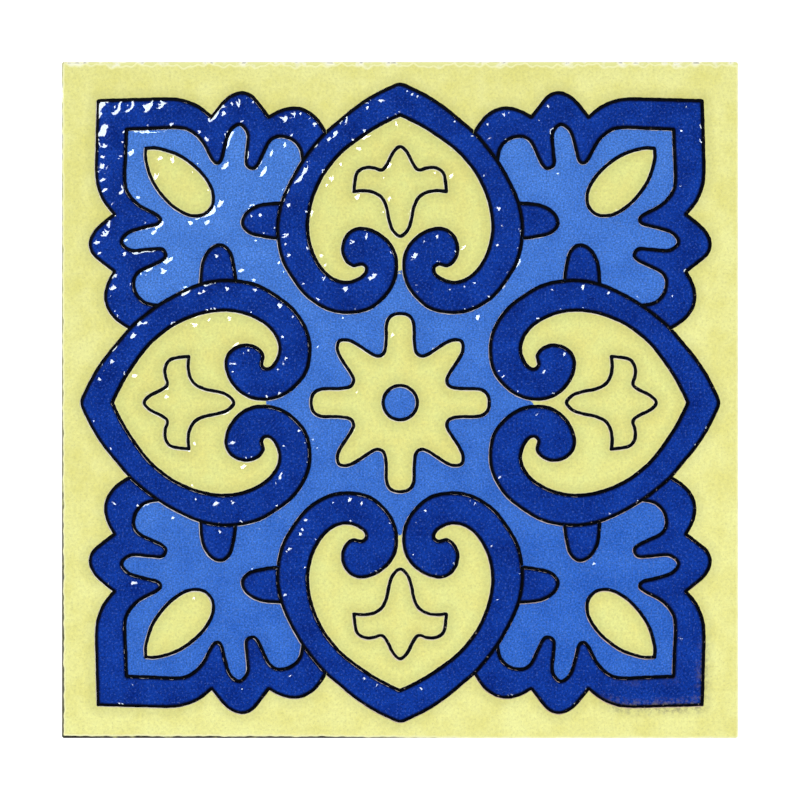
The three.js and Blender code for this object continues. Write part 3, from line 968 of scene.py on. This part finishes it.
border_shores = [shore(square, False, edge_gap), shore(field_loop, True)]
border_shape = pool_shape(border_shores, BORDER_WALL_MM, BORDER_DOME_MM, free_outside=True)
lay_pool("border_glaze", border_shape, border_yellow, lively=0.15)
heart_shape = pool_shape([shore(heart_loop, False), shore(lily_loop, True)])
lily_shape = pool_shape([shore(lily_loop, False)])
leaf_shape = pool_shape([shore(leaf_loop, False)])
for k in range(4):
    lay_pool(f"heart_glaze_{k + 1}", heart_shape, yellow, k, pits=YELLOW_DIMPLES)
    lay_pool(f"lily_glaze_{k + 1}", lily_shape, yellow, k, pits=YELLOW_DIMPLES)
    lay_pool(f"leaf_glaze_{k + 1}", leaf_shape, yellow, k, pits=YELLOW_DIMPLES)
flower_shape = pool_shape([shore(flower_loop, False), shore(dot_loop, True)])
lay_pool("flower_glaze", flower_shape, yellow, pits=YELLOW_DIMPLES)

# Floor, light and camera: a plain white table, soft light from above and all sides, and a small bright
# window at the upper left that shows as glints in the glaze.
FLOOR_DROP = 0.00005
WINDOW_TINT = (0.86, 0.97, 1.0)
SOFT_AWAY = 1.3
SOFT_UP = 0.8
CAMERA_HEIGHT = 0.5
OUTLINE_HEIGHT = 0.0075
PHOTO_PX, TILE_PX = 800, 676
SENSOR_WIDTH = 36
# The floor lies a hair lower than the back, so that no two faces share a plane.
bpy.ops.object.select_all(action="DESELECT")
bpy.ops.mesh.primitive_plane_add(size=6, location=(0, 0, -FLOOR_DROP))
floor = bpy.context.object
floor.name = "floor"
paper, tree = new_material("white_paper")
paper_shader = tree.nodes["Principled BSDF"]
paper_shader.inputs["Base Color"].default_value = (0.9, 0.9, 0.9, 1)
paper_shader.inputs["Roughness"].default_value = 0.9
paper_shader.inputs["Emission Color"].default_value = (1, 1, 1, 1)
paper_shader.inputs["Emission Strength"].default_value = 0.5
floor.data.materials.append(paper)

world = bpy.data.worlds.new("studio")
bpy.context.scene.world = world
world.use_nodes = True
world.node_tree.nodes["Background"].inputs["Color"].default_value = (1, 1, 1, 1)
world.node_tree.nodes["Background"].inputs["Strength"].default_value = 0.05


def lamp(name, place, size, radiance, glints):
    """A square area lamp that faces the tile. It gives either the glints or the soft light."""
    data = bpy.data.lights.new(name, "AREA")
    data.shape = "SQUARE"
    data.size = size
    data.energy = radiance * math.pi * size * size
    light = bpy.data.objects.new(name, data)
    light.location = place
    light.rotation_euler = (-Vector(place)).to_track_quat("-Z", "Y").to_euler()
    light.visible_glossy = glints
    light.visible_diffuse = not glints
    bpy.context.collection.objects.link(light)
    return light


window = lamp("window", (-0.2, 0.2, 0.3), size=0.18, radiance=24, glints=True)
window.data.color = WINDOW_TINT
lamp("soft_top", (0, 0, 1.6), size=1.6, radiance=1.9, glints=False)
for side, x, y in (("left", -1, 0), ("right", 1, 0), ("front", 0, -1), ("back", 0, 1)):
    lamp(f"soft_{side}", (x * SOFT_AWAY, y * SOFT_AWAY, SOFT_UP), size=1.0, radiance=2.1, glints=False)

scene = bpy.context.scene
scene.view_settings.view_transform = "Standard"
camera_data = bpy.data.cameras.new("camera")
camera = bpy.data.objects.new("camera", camera_data)
bpy.context.collection.objects.link(camera)
# The tile's outline, at its own height, fills TILE_PX of the photograph's PHOTO_PX.
camera.location = (0, 0, CAMERA_HEIGHT)
camera_data.sensor_width = SENSOR_WIDTH
frame_width = SIDE_MM / 1000 * PHOTO_PX / TILE_PX
camera_data.lens = SENSOR_WIDTH * (CAMERA_HEIGHT - OUTLINE_HEIGHT) / frame_width
scene.camera = camera
